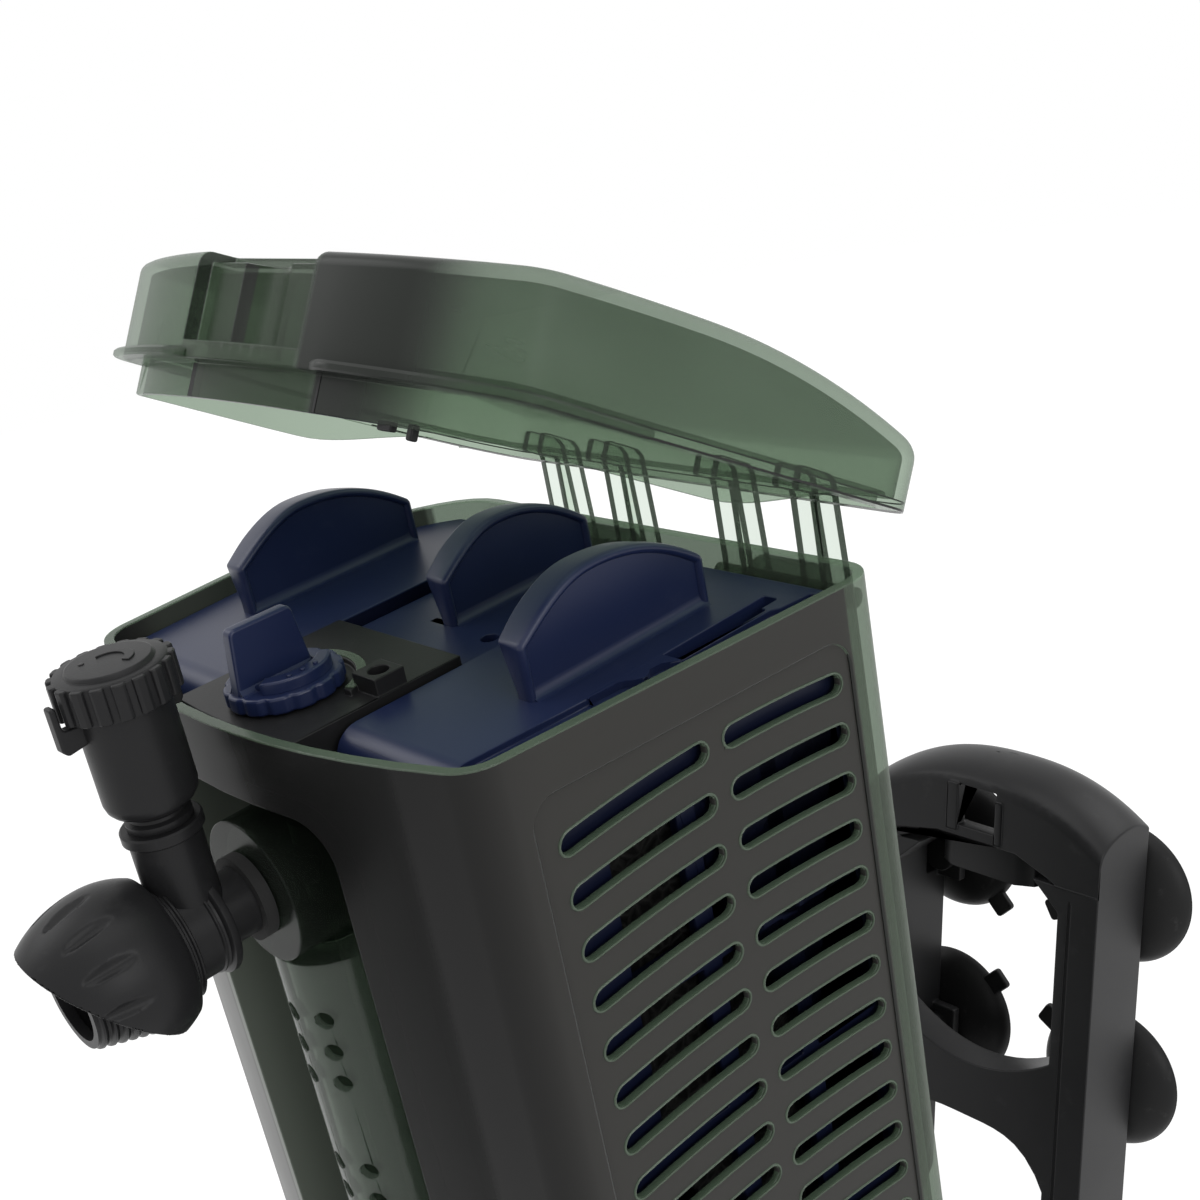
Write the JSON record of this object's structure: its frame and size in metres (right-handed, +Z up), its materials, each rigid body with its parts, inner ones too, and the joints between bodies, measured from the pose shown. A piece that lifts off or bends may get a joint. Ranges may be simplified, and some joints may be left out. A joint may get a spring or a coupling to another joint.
{
  "type": "internal aquarium filter",
  "caption": "Tall smoked plastic aquarium filter on rubber feet with slotted sides, hinged lid, lift-out cartridges, spray column, outlet nozzle with air valve and a suction cup bracket.",
  "frame": {"origin": "centre of the ground under the rubber feet, below the middle of the casing", "axes": "+X to the right across the front, -Y out of the front where the nozzle is, +Z up"},
  "size_m": [0.1254, 0.2667, 0.3376],
  "materials": {
    "smoked_shell": "smoked see-through moulding, polished",
    "smoked_lid": "smoked see-through moulding, polished",
    "smoked_drum": "smoked see-through moulding, polished",
    "smoked_pins": "smoked moulding",
    "black_plastic": "fine matt moulding",
    "navy_plastic": "satin moulding",
    "rubber": "soft black rubber",
    "foam": "coarse open-cell filter foam",
    "ceramic_rings": "porous fired ceramic",
    "ceramic_shaft": "ground ceramic",
    "white_plastic": "satin moulding",
    "magnet": "ferrite",
    "stator": "potted laminations and winding",
    "steel_pin": "ground pin"
  },
  "bodies": {
    "filter": {"casing": "smoked_shell", "base_tray": "black_plastic", "rubber_feet": "rubber", "flow_column": "black_plastic", "outlet_drum": "smoked_drum", "spray_column": "smoked_drum", "spray_plug": "black_plastic", "foam_cage_left": "navy_plastic", "foam_cage_right": "navy_plastic", "foam_pad_left": "foam", "foam_pad_right": "foam", "media_basket": "navy_plastic", "media_rings": "ceramic_rings", "pump_housing": "black_plastic", "pump_stator": "stator", "rotor_shaft": "ceramic_shaft", "shaft_bushes": "rubber", "impeller_cover": "black_plastic", "cable_gland": "rubber"},
    "lid": {"lid": "smoked_lid", "hinge_pins": "smoked_pins"},
    "dial": {"flow_dial": "navy_plastic", "valve_rotor": "black_plastic"},
    "tee": {"nozzle_tee": "black_plastic", "tee_seal": "rubber", "air_valve_body": "black_plastic"},
    "head": {"nozzle_head": "black_plastic", "nozzle_insert": "black_plastic"},
    "air_cap": {"air_valve_cap": "black_plastic", "air_needle": "white_plastic"},
    "rotor": {"impeller": "white_plastic", "rotor_magnet": "magnet"},
    "hook": {"bracket_hook": "black_plastic", "bracket_pin": "steel_pin"},
    "bracket": {"bracket_frame": "black_plastic", "suction_cup_upper_left": "rubber", "suction_cup_upper_right": "rubber", "suction_cup_lower_left": "rubber", "suction_cup_lower_right": "rubber"}
  },
  "joints": [
    {"name": "lid_hinge", "type": "hinge", "parent": "filter", "child": "lid", "pos_m": [0, 0.06, 0.2553], "axis": [-1, 0, 0], "range_deg": [-30.5, 60]},
    {"name": "dial_turn", "type": "hinge", "parent": "filter", "child": "dial", "pos_m": [0, -0.0301, 0.268], "axis": [0, 0, 1], "range_deg": [-90, 90]},
    {"name": "tee_swivel", "type": "hinge", "parent": "filter", "child": "tee", "pos_m": [0, -0.05, 0.238], "axis": [0, 1, 0], "range_deg": [-90, 90]},
    {"name": "head_swivel", "type": "hinge", "parent": "tee", "child": "head", "pos_m": [0, -0.066, 0.238], "axis": [0, 1, 0], "range_deg": [-180, 180]},
    {"name": "cap_turn", "type": "hinge", "parent": "tee", "child": "air_cap", "pos_m": [0, -0.0573, 0.282], "axis": [0, 0, 1], "range_deg": [0, 270]},
    {"name": "impeller_spin", "type": "hinge", "parent": "filter", "child": "rotor", "pos_m": [0, 0, 0.021], "axis": [0, 1, 0], "continuous": true},
    {"name": "bracket_pull", "type": "slide", "parent": "filter", "child": "hook", "axis": [0, 1, 0], "range_m": [-0.073, 0]},
    {"name": "bracket_tilt", "type": "hinge", "parent": "hook", "child": "bracket", "pos_m": [0, 0.1276, 0.012], "axis": [-1, 0, 0], "range_deg": [-13.1, 10]}
  ]
}
